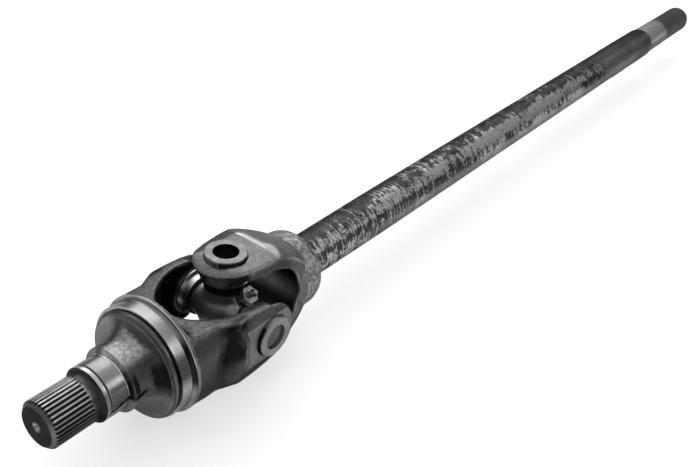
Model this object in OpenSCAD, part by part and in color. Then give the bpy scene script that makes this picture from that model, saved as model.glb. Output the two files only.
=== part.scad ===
// Steering-axle drive shaft: a splined hub stub and a long inner shaft, coupled by a cross joint with four caps.
// Millimetres. The origin is the centre of the hub end face, +X runs along the shaft, +Z is up.
// The inner shaft's yoke holds the upper and lower caps, the stub's yoke holds the near and far ones.

/* [Hub stub] */
// Length from the hub end face to the joint centre
stub_len = 184.2; // [180:0.1:196]
// Outside diameter of the hub spline
hub_spline_d = 38.1; // [37:0.1:40]
// Length of the hub spline, with its run-out
hub_spline_len = 38.5; // [34:0.1:41]
// Number of teeth on the hub spline
hub_teeth = 35; // [30:1:38]
// Diameter of the locating collar behind the spline
collar_d = 44.6; // [43:0.1:44.7]
// Width of the collar, with its front curve
collar_w = 7.4; // [6.5:0.1:8]
// Width of the retaining groove behind the collar
collar_groove_w = 1.4; // [1:0.1:2]
// Diameter of the polished bearing journal
hub_journal_d = 44.74; // [44.72:0.01:46]
// Length of the polished bearing journal
hub_journal_len = 14.9; // [13:0.1:16]
// Diameter of the ridge behind the bearing journal
ridge_d = 53.6; // [51:0.1:56]
// Width of the ridge, with its front slope
ridge_w = 8.1; // [7.5:0.1:9.5]
// Radius of the forged flare between the ridge and the seal land
flare_r = 16.2; // [14:0.1:17]
// Diameter of the seal journal on the stub
seal_journal_d = 93.3; // [91:0.1:94.5]
// Length of the seal journal, with its front land
seal_journal_len = 13.7; // [12:0.1:14.5]
// Diameter of the flange that the stub's arms grow from
base_d = 99.7; // [98:0.1:101]
// Thickness of that flange behind its front fillet
flange_t = 4; // [3:0.1:6]

/* [Inner shaft] */
// Length from the joint centre to the differential end face
inner_len = 1102.6; // [900:1:1200]
// Diameter of the bar next to the boss
bar_root_d = 40.7; // [39.5:0.1:41.5]
// Diameter of the main length of the bar
bar_d = 42.3; // [41.6:0.1:43]
// Diameter of the smooth length ahead of the seal journal
bar_smooth_d = 43.2; // [43.05:0.05:44]
// Length of the smooth part of the bar
bar_smooth_len = 130.5; // [110:0.5:150]
// Diameter of the inner seal journal
inner_journal_d = 40; // [39.5:0.1:41]
// Length of the inner seal journal
inner_journal_len = 65.5; // [55:0.5:80]
// Outside diameter of the differential spline
diff_spline_d = 39; // [38:0.1:39.4]
// Length of the differential spline, with its run-out
diff_spline_len = 108.6; // [90:0.1:120]
// Number of teeth on the differential spline
diff_teeth = 35; // [30:1:38]
// Diameter of the round boss behind the yoke
boss_d = 69.2; // [66:0.1:71]
// Distance from the joint centre to the back of the boss
boss_back = 91; // [88:0.5:98]

/* [Yokes] */
// Width of an arm across its two flats
arm_w = 60.2; // [58:0.1:62]
// Distance from the joint centre to the bottom of the inner yoke's throat
throat_depth = 61.5; // [60:0.1:63.5]
// Distance from the joint centre to the bottom of the stub yoke's throat
stub_throat_depth = 64; // [61:0.1:66]
// Radius of the end of an ear at its machined pad
nose_r = 24.3; // [23:0.1:25.5]
// Growth of that radius past the pad's bevelled edge
nose_swell = 3; // [2:0.1:3.4]
// Loss of radius from there to the arm's inner face
nose_taper = 4.6; // [3:0.1:5]
// Diameter of the faced boss inside an ear, which the snap ring bears on
seat_d = 43; // [42.4:0.1:44.4]
// Height of that boss above the arm's inner face
seat_h = 4.1; // [3:0.1:4.4]
// Length of the machined pad from the trunnion axis toward the yoke's base
pad_len = 29.5; // [28:0.1:31]
// Depth of the machined pad below the crown of the arm
pad_step = 1.8; // [1:0.1:2.2]
// Radius that the arms of either yoke swing within
swing_r = 57; // [56.5:0.1:58]

/* [Cross and caps] */
// Outside diameter of a bearing cap
cap_d = 34.93; // [34:0.01:36]
// Distance across the outer faces of two opposite caps
cap_span = 110.7; // [109.5:0.1:112]
// Length of a cap
cap_len = 29.35; // [28.5:0.05:30]
// Height that a cap stands out of the machined pad
cap_proud = 3.35; // [2:0.05:4]
// Diameter of the dish in the outer face of a cap
dish_d = 21.4; // [18:0.1:23]
// Depth of the dish
dish_depth = 2.4; // [1:0.1:3]
// Diameter of a trunnion of the cross
trunnion_d = 23.8; // [23:0.1:24.4]
// Diameter of a needle roller
needle_d = 3; // [2.4:0.1:3]
// Diameter of the seal shoulder on the cross
shoulder_d = 30.8; // [29.5:0.1:31.4]
// Radius of the cross's forged centre
cross_r = 22.5; // [21:0.1:24]
// Thickness of a snap ring
clip_t = 1.6; // [1.2:0.1:2]
// Width across the flats of the nipple's hexagon
nipple_hex = 13; // [11:0.5:14]

/* [Hidden] */
$fn = 96;
eps = 0.02;
far = 300;

// Clearances between pieces that turn against each other
needle_clear = 0.03;
lip_clear = 0.05;
end_play = 0.25;
needle_end_gap = 0.4;

// Stations along a trunnion axis, from the joint centre outward
cap_face = cap_span / 2;
cap_mouth = cap_face - cap_len;
cap_floor_t = 2.8;
cap_floor = cap_face - dish_depth - cap_floor_t;
clip_land = 7.2;
seat_z = cap_mouth + clip_land + clip_t;
arm_in = seat_z + seat_h;
pad_z = cap_face - cap_proud;
crown_z = pad_z + pad_step;
trunnion_end = cap_floor - end_play;
seal_w = 2.4;
shoulder_gap = 1.5;
shoulder_end = cap_mouth - shoulder_gap;

// Bearing radii
race_r = trunnion_d / 2 + needle_clear + needle_d;
pitch_r = trunnion_d / 2 + needle_clear + needle_d / 2;
needle_space = 0.1;
needle_n = floor(2 * PI * pitch_r / (needle_d + needle_space));
clip_groove = 1.06;
clip_in_r = cap_d / 2 - clip_groove;
clip_wall = 3.9;
clip_gap_deg = 100;
seal_t = 1.6;
seal_flange_t = 1.05;

// Yoke forging
nose_edge = 3;
nose_full_r = nose_r + nose_swell;
nose_x = nose_full_r + 1;
crown_w = 22.4;
roof_drop = 5.7;
arm_root_w = 56;
arm_full_x = 20;
arm_waist_x = 35;
side_r = 63.5;
straight_x = 11.6;
blend = 0.06;

// Inner yoke: slope of the arms, swing envelope and boss
slope_r = 86;
slope_x = 12.7;
slope_top = 1.9;
env_r = 200;
env_x = -46;
env_top = 73;
boss_round = 9;
boss_fillet = 4;
boss_flare_x = throat_depth - 3;
boss_flare_d = 58;
boss_full_x = throat_depth + 7;
arm_end_x = throat_depth + 16;
root_taper_end = 208;
step_taper = 3;
neck_w = 57;

// Outer yoke: flare of the arms from the flange
arm_base_w = 67;
base_round = 6;
arm_flare_x = 52;
arm_full_back = 33;
scoop_r = 25.4;
scoop_x = 49.1;
scoop_depth = 3.2;

// Stations of the stub from the hub end face
collar_x = hub_spline_len;
collar_front = 4.6;
groove_x = collar_x + collar_w;
journal_x = groove_x + collar_groove_w;
ridge_x = journal_x + hub_journal_len;
ridge_slope = 3.5;
flare_x = ridge_x + ridge_w;
seal_x = flare_x + flare_r;
seal_land = 3.1;
seal_land_drop = 1.2;
seal_groove_w = 1.1;
seal_groove = 1.8;
base_fillet = (base_d - seal_journal_d) / 2;
base_x = seal_x + seal_journal_len + base_fillet;
groove_depth = 0.5;
rim_round = 2;

// Splines
tooth_depth = 1.25;
space_tip = 0.62;
space_root = 0.34;
run_out = 5.5;
tip_chamfer = 3.3;
centre_d = 8.4;
centre_pilot_d = 3.2;

// Nipple, in the corner between the near and the upper trunnion
nipple_gap = 0.6;
nipple_boss_d = 14;
nipple_boss_z = sqrt(2) * (cap_mouth - seal_w - nipple_gap) - nipple_boss_d / 2;
nipple_shank_d = 7.8;
nipple_depth = 8;
nipple_hex_z = sqrt(2) * (cap_d / 2 + nipple_gap) + nipple_hex / 2;
nipple_hex_h = 6.5;
nipple_neck_d = 5;
nipple_neck_l = 3.2;
nipple_head_d = 6.6;
nipple_head_l = 3.4;

steel_forged = [0.27, 0.27, 0.28];
steel_cap = [0.62, 0.62, 0.63];
steel_bright = [0.72, 0.72, 0.73];
rubber_black = [0.05, 0.05, 0.05];

// Turns what stands along Z so that it lies along the shaft
module along_x() rotate([0, 90, 0]) children();

// Moves what is built about the joint centre to its place on the shaft
module at_joint() translate([stub_len, 0, 0]) children();

// Trunnion directions
module upper() children();
module lower() rotate([180, 0, 0]) children();
module near() rotate([90, 0, 0]) children();
module far_side() rotate([-90, 0, 0]) children();

// Rod about the shaft axis from station a to station b
module rod(d, a, b) along_x() translate([0, 0, a]) cylinder(d = d, h = b - a);
module taper(d1, d2, a, b) along_x() translate([0, 0, a]) cylinder(d1 = d1, d2 = d2, h = b - a);

// Tooth spaces of a spline that starts at station 0 and runs out at station len
module tooth_spaces(d, teeth, len) {
    root_r = d / 2 - tooth_depth;
    pitch = PI * d / teeth;
    difference() {
        translate([-1, 0, 0]) along_x() linear_extrude(height = len + 1)
            for (i = [0 : teeth - 1]) rotate(i * 360 / teeth)
                polygon([[root_r, -space_root * pitch / 2], [d / 2 + 1, -space_tip * pitch * 0.75],
                    [d / 2 + 1, space_tip * pitch * 0.75], [root_r, space_root * pitch / 2]]);
        taper(2 * root_r - 1, d + 2.2, len - run_out, len + 1);
    }
}

// Centre-drilled hole in an end face at station 0, opening toward -X
module centre_hole() {
    taper(centre_d, centre_pilot_d, 0, (centre_d - centre_pilot_d) * 0.866);
    rod(centre_d, -1, eps);
    rod(centre_pilot_d, 0, centre_d);
}

// Opening between the two arms of a yoke whose base lies toward +X and whose arms stand along Z:
// straight between the ears, then two side arcs and a round end
module throat(depth) {
    side_z = side_r - arm_in - blend;
    run_x = depth - straight_x;
    end_r = (side_r * side_r - run_x * run_x - side_z * side_z) / (2 * (side_r - run_x));
    end_x = depth - end_r;
    tangent_x = straight_x + side_r * (end_x - straight_x) / (side_r - end_r);
    rotate([-90, 0, 0]) translate([0, 0, -far / 2]) {
        translate([-far, -arm_in, 0]) cube([far + straight_x, 2 * arm_in, far]);
        intersection() {
            translate([straight_x, side_z, 0]) cylinder(r = side_r, h = far);
            translate([straight_x, -side_z, 0]) cylinder(r = side_r, h = far);
            translate([0, -side_r, 0]) cube([tangent_x, 2 * side_r, 2 * far]);
        }
        translate([end_x - blend, 0, 0]) cylinder(r = end_r + blend, h = far);
    }
}

// Outline of an arm seen along its trunnion: barrel-shaped nose, widening to the full width and on to the base
module arm_plan(end, end_w) {
    full_z = pad_z - nose_edge;
    low_r = nose_full_r - nose_taper;
    turn = 90 + acos(2 * low_r / arm_root_w);
    start_r = low_r - nose_taper / 4;
    side = [[start_r * cos(turn), start_r * sin(turn)], [0, arm_root_w / 2], [arm_full_x, arm_w / 2],
        [arm_waist_x, arm_w / 2], [end, end_w / 2]];
    for (s = [1, -1]) scale([1, 1, s]) {
        translate([0, 0, 2 * arm_in - full_z])
            cylinder(r1 = low_r - nose_taper, r2 = nose_full_r, h = 2 * (full_z - arm_in));
        translate([0, 0, full_z]) cylinder(r1 = nose_full_r, r2 = nose_r - nose_swell, h = 2 * nose_edge);
    }
    translate([0, 0, -far / 2]) linear_extrude(height = far)
        polygon(concat(side, [for (i = [len(side) - 1 : -1 : 0]) [side[i][0], -side[i][1]]]));
}

// Outline of both arms seen along the shaft: a flat crown that falls away past the two flats
module arm_section(end) {
    side_y = crown_w / 2 + arm_w - crown_w;
    side_z = crown_z - 2 * roof_drop;
    translate([-nose_x, 0, 0]) along_x() linear_extrude(height = end + nose_x)
        polygon([[-side_z, side_y], [-crown_z, crown_w / 2], [-crown_z, -crown_w / 2], [-side_z, -side_y],
            [side_z, -side_y], [crown_z, -crown_w / 2], [crown_z, crown_w / 2], [side_z, side_y]]);
}

// Faced bosses inside the two ears
module seats() for (s = [1, -1]) scale([1, 1, s])
    translate([0, 0, seat_z]) cylinder(d = seat_d, h = seat_h + 2);

// Machined pads and cap bores, cut from a yoke
module ear_cuts() for (s = [1, -1]) scale([1, 1, s]) {
    translate([-far, -far / 2, pad_z]) cube([far + pad_len, far, far]);
    cylinder(d = cap_d, h = far);
}

module inner_axle_shaft() color(steel_forged) difference() {
    union() {
        difference() {
            inner_forging();
            throat(throat_depth);
        }
        seats();
        inner_bar();
    }
    ear_cuts();
    translate([inner_len, 0, 0]) rotate([0, 180, 0]) {
        tooth_spaces(diff_spline_d, diff_teeth, diff_spline_len - run_out - step_taper);
        centre_hole();
    }
}

// Arms and boss of the inner shaft, before the throat is cut
module inner_forging() {
    intersection() {
        arm_plan(arm_end_x, neck_w);
        arm_section(arm_end_x);
        rotate([90, 0, 0]) translate([slope_x, crown_z + slope_top - slope_r, -far / 2])
            cylinder(r = slope_r, h = far);
        rotate([90, 0, 0]) translate([slope_x, slope_r - crown_z - slope_top, -far / 2])
            cylinder(r = slope_r, h = far);
        along_x() translate([0, 0, -far / 4]) rotate_extrude() intersection() {
            translate([env_top - env_r, far / 4 + env_x]) circle(r = env_r);
            square([swing_r, far]);
        }
    }
    taper(boss_flare_d, boss_d, boss_flare_x, boss_full_x);
    along_x() rotate_extrude() {
        translate([0, boss_full_x]) square([boss_d / 2, boss_back - boss_round - boss_full_x]);
        translate([0, boss_full_x]) square([boss_d / 2 - boss_round, boss_back - boss_full_x]);
        translate([boss_d / 2 - boss_round, boss_back - boss_round]) intersection() {
            circle(r = boss_round);
            square(boss_round);
        }
    }
}

// Long bar of the inner shaft, from inside the boss to the differential end
module inner_bar() {
    smooth_x = inner_len - diff_spline_len - inner_journal_len - bar_smooth_len;
    journal = smooth_x + bar_smooth_len;
    spline = journal + inner_journal_len;
    along_x() rotate_extrude() difference() {
        translate([0, boss_back - 1]) square([bar_root_d / 2 + boss_fillet, boss_fillet + 1]);
        translate([bar_root_d / 2 + boss_fillet, boss_back + boss_fillet]) circle(r = boss_fillet);
    }
    rod(bar_root_d, boss_back - 1, boss_back + 2 * boss_fillet);
    taper(bar_root_d, bar_d, boss_back + 2 * boss_fillet, root_taper_end);
    rod(bar_d, root_taper_end, smooth_x - step_taper);
    taper(bar_d, bar_smooth_d, smooth_x - step_taper, smooth_x);
    rod(bar_smooth_d, smooth_x, journal - step_taper);
    taper(bar_smooth_d, inner_journal_d, journal - step_taper, journal);
    rod(inner_journal_d, journal, spline);
    taper(inner_journal_d, diff_spline_d, spline, spline + step_taper);
    rod(diff_spline_d, spline + step_taper, inner_len - tip_chamfer);
    taper(diff_spline_d, diff_spline_d - 2 * tip_chamfer, inner_len - tip_chamfer, inner_len);
}

// Turned part of the stub, from its hub end face to the back of the flange
module stub_turning() along_x() rotate_extrude() {
    polygon([[0, 0], [hub_spline_d / 2 - tip_chamfer, 0], [hub_spline_d / 2, tip_chamfer], [0, tip_chamfer]]);
    translate([0, tip_chamfer]) square([hub_spline_d / 2, hub_spline_len - tip_chamfer + collar_front]);
    // concave front of the collar
    difference() {
        translate([0, collar_x]) square([collar_d / 2 - rim_round / 4, collar_front]);
        translate([hub_spline_d / 2 + collar_front, collar_x]) circle(r = collar_front);
    }
    translate([0, collar_x + collar_front]) square([collar_d / 2, collar_w - collar_front]);
    translate([0, groove_x]) square([hub_journal_d / 2 - groove_depth, collar_groove_w]);
    translate([0, journal_x]) square([hub_journal_d / 2, hub_journal_len]);
    polygon([[0, ridge_x], [hub_journal_d / 2, ridge_x], [ridge_d / 2, ridge_x + ridge_slope],
        [ridge_d / 2, flare_x], [0, flare_x]]);
    // forged flare up to the seal land
    difference() {
        translate([0, flare_x]) square([ridge_d / 2 + flare_r, flare_r]);
        translate([ridge_d / 2 + flare_r, flare_x]) circle(r = flare_r);
    }
    polygon([[0, seal_x], [seal_journal_d / 2 - seal_land_drop - rim_round, seal_x],
        [seal_journal_d / 2 - seal_land_drop, seal_x + rim_round / 2],
        [seal_journal_d / 2 - seal_land_drop, seal_x + seal_land], [0, seal_x + seal_land]]);
    translate([0, seal_x + seal_land]) square([seal_journal_d / 2 - seal_groove, seal_groove_w]);
    translate([0, seal_x + seal_land + seal_groove_w])
        square([seal_journal_d / 2, seal_journal_len - seal_land - seal_groove_w + base_fillet]);
    // fillet from the seal journal up to the flange
    difference() {
        translate([0, base_x - base_fillet]) square([base_d / 2, base_fillet]);
        translate([base_d / 2, base_x - base_fillet]) circle(r = base_fillet);
    }
    translate([0, base_x]) square([base_d / 2, flange_t]);
}

// Arms of the stub's yoke as it is forged, with its base toward +X and its arms along Z
module stub_forging() {
    flange_x = stub_len - base_x - flange_t;
    end = flange_x + flange_t / 2;
    intersection() {
        union() {
            arm_plan(end, arm_base_w);
            // fillets between the flange and the flats
            for (s = [1, -1]) scale([1, s, 1]) translate([flange_x, arm_base_w / 2 - 1, -far / 2])
                linear_extrude(height = far) difference() {
                    translate([-base_round, 0]) square([base_round + 1, base_round]);
                    translate([-base_round, base_round + 0.8]) circle(r = base_round + 0.1);
                }
        }
        arm_section(end);
        along_x() rotate_extrude() translate([0, -nose_x])
            polygon([[0, 0], [swing_r, 0], [swing_r, nose_x + arm_full_back], [base_d / 2, nose_x + arm_flare_x],
                [base_d / 2, nose_x + end], [0, nose_x + end]]);
    }
}

module outer_stub_shaft() color(steel_forged) difference() {
    union() {
        translate([-stub_len, 0, 0]) stub_turning();
        rotate([90, 0, 180]) {
            difference() {
                stub_forging();
                throat(stub_throat_depth);
                for (s = [1, -1]) rotate([90, 0, 0])
                    translate([scoop_x, s * (base_d / 2 + scoop_r - scoop_depth), -far / 2])
                        cylinder(r = scoop_r, h = far);
            }
            seats();
        }
    }
    rotate([90, 0, 180]) ear_cuts();
    translate([-stub_len, 0, 0]) {
        tooth_spaces(hub_spline_d, hub_teeth, hub_spline_len - 1);
        centre_hole();
    }
}

// Corner of the cross that carries the nipple
module nipple_corner() rotate([45, 0, 0]) children();

module joint_cross() color(steel_forged) difference() {
    union() {
        sphere(r = cross_r);
        upper() trunnion();
        lower() trunnion();
        near() trunnion();
        far_side() trunnion();
        nipple_corner() cylinder(d = nipple_boss_d, h = nipple_boss_z);
    }
    nipple_corner() translate([0, 0, nipple_boss_z - nipple_depth]) cylinder(d = nipple_shank_d, h = far);
}

module trunnion() {
    arm_r = shoulder_d / 2 + 2.6;
    cylinder(r1 = arm_r + 2, r2 = shoulder_d / 2, h = shoulder_end - seal_w);
    cylinder(d = shoulder_d, h = shoulder_end);
    cylinder(d = trunnion_d, h = trunnion_end - 1);
    translate([0, 0, trunnion_end - 1]) cylinder(d1 = trunnion_d, d2 = trunnion_d - 2, h = 1);
}

module grease_nipple() color(steel_bright) nipple_corner() {
    translate([0, 0, nipple_boss_z - nipple_depth])
        cylinder(d = nipple_shank_d, h = nipple_hex_z - nipple_boss_z + nipple_depth + eps);
    translate([0, 0, nipple_hex_z]) {
        cylinder(d = nipple_hex / cos(30), h = nipple_hex_h, $fn = 6);
        cylinder(d = nipple_neck_d, h = nipple_hex_h + nipple_neck_l);
        translate([0, 0, nipple_hex_h + nipple_neck_l]) cylinder(d1 = nipple_neck_d, d2 = nipple_head_d, h = 1);
        translate([0, 0, nipple_hex_h + nipple_neck_l + 1])
            cylinder(d1 = nipple_head_d, d2 = nipple_head_d / 2, h = nipple_head_l);
    }
}

module bearing_cap() color(steel_cap) difference() {
    union() {
        translate([0, 0, cap_mouth]) cylinder(d = cap_d, h = cap_len - 1);
        translate([0, 0, cap_face - 1]) cylinder(d1 = cap_d, d2 = cap_d - 1.4, h = 1);
    }
    translate([0, 0, cap_mouth - 1]) cylinder(r = race_r, h = cap_floor - cap_mouth + 1);
    translate([0, 0, cap_face - dish_depth]) cylinder(d1 = dish_d - 1.2, d2 = dish_d, h = dish_depth + eps);
    difference() {
        translate([0, 0, cap_mouth + clip_land]) cylinder(d = cap_d + 1, h = clip_t);
        translate([0, 0, cap_mouth]) cylinder(r = clip_in_r, h = cap_len);
    }
}

module needle_rollers() color(steel_bright) for (i = [0 : needle_n - 1]) rotate(i * 360 / needle_n)
    translate([pitch_r, 0, cap_mouth + clip_land])
        cylinder(d = needle_d, h = cap_floor - cap_mouth - clip_land - needle_end_gap, $fn = 24);

module cap_seal() color(rubber_black) difference() {
    translate([0, 0, cap_mouth - seal_w]) cylinder(d = shoulder_d + 2 * lip_clear + 2 * seal_t, h = seal_w);
    translate([0, 0, cap_mouth - seal_w - 1])
        cylinder(d = shoulder_d + 2 * lip_clear, h = seal_w - seal_flange_t + 1);
    cylinder(r = trunnion_d / 2 + 0.7, h = far);
}

module snap_ring() color(steel_bright) difference() {
    translate([0, 0, cap_mouth + clip_land]) cylinder(r = clip_in_r + clip_wall, h = clip_t);
    cylinder(r = clip_in_r, h = far);
    // open side of the ring
    linear_extrude(height = far) polygon([[0, 0], [far * cos(clip_gap_deg / 2), far * sin(clip_gap_deg / 2)],
        [far, 0], [far * cos(clip_gap_deg / 2), -far * sin(clip_gap_deg / 2)]]);
}

at_joint() inner_axle_shaft();
at_joint() outer_stub_shaft();
at_joint() joint_cross();
at_joint() grease_nipple();
at_joint() upper() bearing_cap();  // upper_bearing_cap
at_joint() lower() bearing_cap();  // lower_bearing_cap
at_joint() near() bearing_cap();  // near_bearing_cap
at_joint() far_side() bearing_cap();  // far_bearing_cap
at_joint() upper() needle_rollers();  // upper_needle_rollers
at_joint() lower() needle_rollers();  // lower_needle_rollers
at_joint() near() needle_rollers();  // near_needle_rollers
at_joint() far_side() needle_rollers();  // far_needle_rollers
at_joint() upper() cap_seal();  // upper_cap_seal
at_joint() lower() cap_seal();  // lower_cap_seal
at_joint() near() cap_seal();  // near_cap_seal
at_joint() far_side() cap_seal();  // far_cap_seal
at_joint() upper() snap_ring();  // upper_snap_ring
at_joint() lower() snap_ring();  // lower_snap_ring
at_joint() near() snap_ring();  // near_snap_ring
at_joint() far_side() snap_ring();  // far_snap_ring
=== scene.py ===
"""Looks of a steering-axle drive shaft with a cross joint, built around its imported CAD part.

The scene is in metres, in the CAD's own frame. Sizes in this script are in millimetres. Stations along the
shaft run from the hub end face, or from the joint's centre where a heading or a docstring says so. Angles
around the shaft are in degrees from the top toward the near side, which is -Y.
"""

from collections import namedtuple
import math

import bmesh
import bpy
import numpy as np
from mathutils import Matrix, Vector


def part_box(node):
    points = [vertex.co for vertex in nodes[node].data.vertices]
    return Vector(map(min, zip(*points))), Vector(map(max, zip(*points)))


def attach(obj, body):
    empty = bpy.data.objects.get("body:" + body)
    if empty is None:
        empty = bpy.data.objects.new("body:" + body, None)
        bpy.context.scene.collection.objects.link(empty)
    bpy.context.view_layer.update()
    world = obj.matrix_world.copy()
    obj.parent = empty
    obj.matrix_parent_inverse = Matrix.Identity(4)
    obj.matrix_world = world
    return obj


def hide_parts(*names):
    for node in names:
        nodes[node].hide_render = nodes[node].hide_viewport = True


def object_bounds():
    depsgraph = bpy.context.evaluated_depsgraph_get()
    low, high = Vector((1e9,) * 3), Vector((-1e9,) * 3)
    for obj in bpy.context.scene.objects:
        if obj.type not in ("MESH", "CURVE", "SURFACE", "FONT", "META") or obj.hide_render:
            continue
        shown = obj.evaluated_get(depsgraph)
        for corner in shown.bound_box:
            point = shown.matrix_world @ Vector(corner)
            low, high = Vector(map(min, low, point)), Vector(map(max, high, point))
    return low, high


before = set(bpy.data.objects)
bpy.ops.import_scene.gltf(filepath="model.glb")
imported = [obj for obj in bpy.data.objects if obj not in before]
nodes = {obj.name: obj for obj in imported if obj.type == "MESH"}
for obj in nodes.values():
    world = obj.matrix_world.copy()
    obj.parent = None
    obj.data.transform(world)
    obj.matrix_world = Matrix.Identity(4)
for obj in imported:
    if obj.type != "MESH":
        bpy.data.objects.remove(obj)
cad_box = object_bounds()

MM = 0.001
X_AXIS, Y_AXIS, Z_AXIS = 0, 1, 2


def reach(node, axis):
    """Lowest and highest coordinate of a CAD node along an axis, in mm."""
    low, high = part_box(node)
    return low[axis] / MM, high[axis] / MM


# Places read from the frame
JOINT = sum(reach("joint_cross", X_AXIS)) / 2
INNER_END = reach("inner_axle_shaft", X_AXIS)[1]
CAP_LOW, CAP_HIGH = reach("upper_bearing_cap", X_AXIS)
CAP_R = (CAP_HIGH - CAP_LOW) / 2
CAP_FACE = reach("upper_bearing_cap", Z_AXIS)[1]
SEAT_Z = reach("upper_snap_ring", Z_AXIS)[1]

# Yokes, from the joint's centre
CAP_STANDS_OUT = 3.35
PAD_Z = CAP_FACE - CAP_STANDS_OUT
PAD_LEN = 29.5
SEAT_R = 21.5
BORE_MARGIN = 0.8
DISH_R = 10.9
BOSS_START, BOSS_BACK = 68.0, 91.0
PAST_EARS = 60.0

# Rounding of the forgings: size of the even mesh, rounds of smoothing, and how near a face counts as on it
YOKE_VOXEL, YOKE_ROUNDS = 0.85, 26
CROSS_VOXEL, CROSS_ROUNDS = 0.7, 30
SMOOTHING_RATE = 0.5
NEAR_FACE = 0.75
CROSS_ROUND_END, CROSS_KEPT_FROM = 19.5, 22.5

# Hub spline
SPLINE_R, SPLINE_END = 19.05, 38.5
SPACE_DEPTH = 0.6
END_DEPTH, TIP_LEN = 2.0, 4.0
CENTRE_R, CENTRE_DEPTH = 4.2, 8.0
RUN_OUT = 5.5

# Turned part of the stub
COLLAR_R, COLLAR_FRONT, COLLAR_END, COLLAR_CURVE = 22.3, 42.9, 45.9, 3.9
JOURNAL_R, JOURNAL_START, JOURNAL_END, JOURNAL_FILLET = 22.37, 47.3, 62.2, 1.2
RIDGE_R, RIDGE_START, RIDGE_END, RIDGE_EDGE = 26.8, 63.5, 70.3, 1.4
FLARE_R, FLARE_END = 16.2, 86.5
LAND_R, LAND_END, LAND_EDGE = 44.5, 89.6, 1.4
BAND_R, BAND_START, BAND_END = 46.65, 90.7, 100.2
FLANGE_R, FLANGE_FRONT, FLANGE_BACK, FLANGE_EDGE = 49.85, 103.4, 107.4, 0.6
RIM_SHIFT = 1.1
UNDER_SPLINE_R, UNDER_YOKE_R = 12.0, 30.0

# Extra stock low on the arms, and where it begins across, down and along the shaft
FULLER = 1.4
INNER_FULLER_SIDE, INNER_FULLER_LOW, INNER_FULLER_SHARE = (19, 27), (15, 25), 0.7
STUB_FULLER_LOW, STUB_FULLER_START = (18, 28), (FLANGE_BACK + 4, FLANGE_BACK + 14)

# Long bar, from the joint's centre
BAR_ROOT_R, BAR_R, BAR_SMOOTH_R, BAR_FILLET = 20.35, 21.15, 21.6, 4.0
TAPER_START, TAPER_END, TAPER_STEPS = 99.0, 208.0, 12
SMOOTH_START, SMOOTH_END = 798.0, 928.5
INNER_JOURNAL_R, INNER_SPLINE = 20.0, 995.2

# Turned rings on the bar, from the joint's centre
RING_GROUP, RING_PITCH = (206.0, 246.0), 5.2
RINGS = (136.0, 168.0, 262.0, 292.0, 328.0, 402.0, 480.0, 612.0, 690.0)
RING_HALF_WIDTH = 0.7

# Where the looks change on the yokes and on the bar, from the joint's centre
# Bounds of painted light on the inner yoke's crowns, and of painted shade on its flanks and in its throat
ROOF_START, FLANK_END, THROAT_START = (34, 50), (40, 54), (8, 20)
# Bounds of a painted highlight along the inner pad's step
STEP_HALF_WIDTH, STEP_HEIGHT = (12, 19), (50, 51)
# Bounds of painted shade in the stub yoke's throat and outer hollows
STUB_THROAT, STUB_THROAT_TOP = (-42, -34), (24, 40)
STUB_HOLLOW, STUB_HOLLOW_OUT, STUB_HOLLOW_LOW = (-52, -29), (40, 46), (-22, 2)
# RUBBED_MIDDLE bounds real rubbing on the bar, STRIP_START a painted floor reflection, and PLAIN_START its
# smooth dark length
RUBBED_MIDDLE, STRIP_START, PLAIN_START = (330, 640), (110, 260), (715, 765)

# Where the looks change on the turned part of the stub
# Bounds of a painted dark reflection line over the journal and the ridge
DARK_REFLECTION_SPAN, DARK_REFLECTION_ANGLES, DARK_REFLECTION_SLANT = (43, 74), (9.5, 17.5), 0.66
# Bounds of painted light on the flare's neck, and of painted shade toward its rim and at the ridge's foot
NECK_END, RIM_START, FLARE_FOOT = (79, 84), (75, 84), (61, 68)

# Angles around the shaft between which its looks change
# Flare angles bound its painted light and painted shade
FLARE_FAR_SIDE, FLARE_UNDERSIDE = (-42, -20), (94, 108)
FLARE_TOP, FLARE_NEAR_SIDE = (-14, 36), (54, 92)
# Bar angles bound painted light on its flanks and a painted floor reflection low on its near side
BAR_NEAR_FLANK, BAR_MIDDLE_FLANK, BAR_LOW_FLANK = (24, 56), (26, 72), (60, 85)
BAR_STRIP, BAR_TOP_END = (84, 150), (10, 34)
# Bounds of a painted dark reflection low on the near side
LOW_NEAR_SIDE = (45, 85)

# How the noise of a material is stretched for its grain
GRAIN_ACROSS, GRAIN_ALONG = (1, 0.25, 1), (0.25, 1, 1)

Grain = namedtuple("Grain", "broad fine pits tone")


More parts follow.
